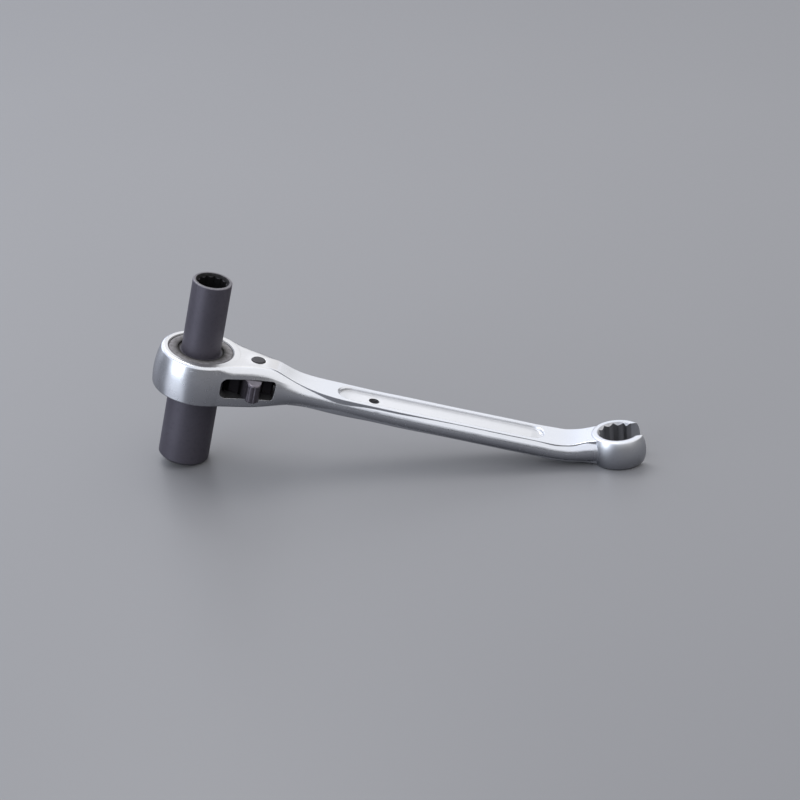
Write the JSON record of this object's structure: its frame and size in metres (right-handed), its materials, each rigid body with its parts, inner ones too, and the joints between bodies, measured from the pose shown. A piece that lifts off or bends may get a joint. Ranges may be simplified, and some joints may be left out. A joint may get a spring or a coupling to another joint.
{
  "type": "ratchet socket wrench",
  "caption": "Double-ended ratchet socket wrench with a reversing pawl in a side window and a bent, slotted twelve-point ring end.",
  "frame": {"origin": "On the socket axis, at mid thickness of the ratchet head", "axes": "+Z along the socket axis with the small socket up, +X from the ratchet head along the handle to the ring, +Y to the far side of the tool"},
  "size_m": [0.1898, 0.0344, 0.0752],
  "materials": {
    "forging": "satin",
    "black_steel": "matte",
    "spring_steel": "satin",
    "pawl_steel": "satin",
    "ball_steel": "gloss"
  },
  "bodies": {
    "wrench": {"wrench_body": "forging", "retaining_ring": "spring_steel", "pawl_pin": "black_steel", "detent_spring": "spring_steel"},
    "socket": {"socket_barrel": "black_steel"},
    "pawl": {"reversing_pawl": "pawl_steel"},
    "detent": {"detent_ball": "ball_steel"}
  },
  "joints": [
    {"name": "socket_spin", "type": "hinge", "parent": "wrench", "child": "socket", "pos_m": [0, 0, 0], "axis": [0, 0, 1], "continuous": true},
    {"name": "pawl_rock", "type": "hinge", "parent": "wrench", "child": "pawl", "pos_m": [0.0222, 0, 0], "axis": [0, 0, 1], "range_deg": [0, 12]},
    {"name": "detent_slide", "type": "slide", "parent": "wrench", "child": "detent", "axis": [1, 0, 0], "range_m": [0, 0.0008], "deforming": ["detent_spring"]}
  ],
  "couplings": [
    {"joint": "detent_slide", "follows": "pawl_rock", "m_per_rad": 0.0038}
  ]
}
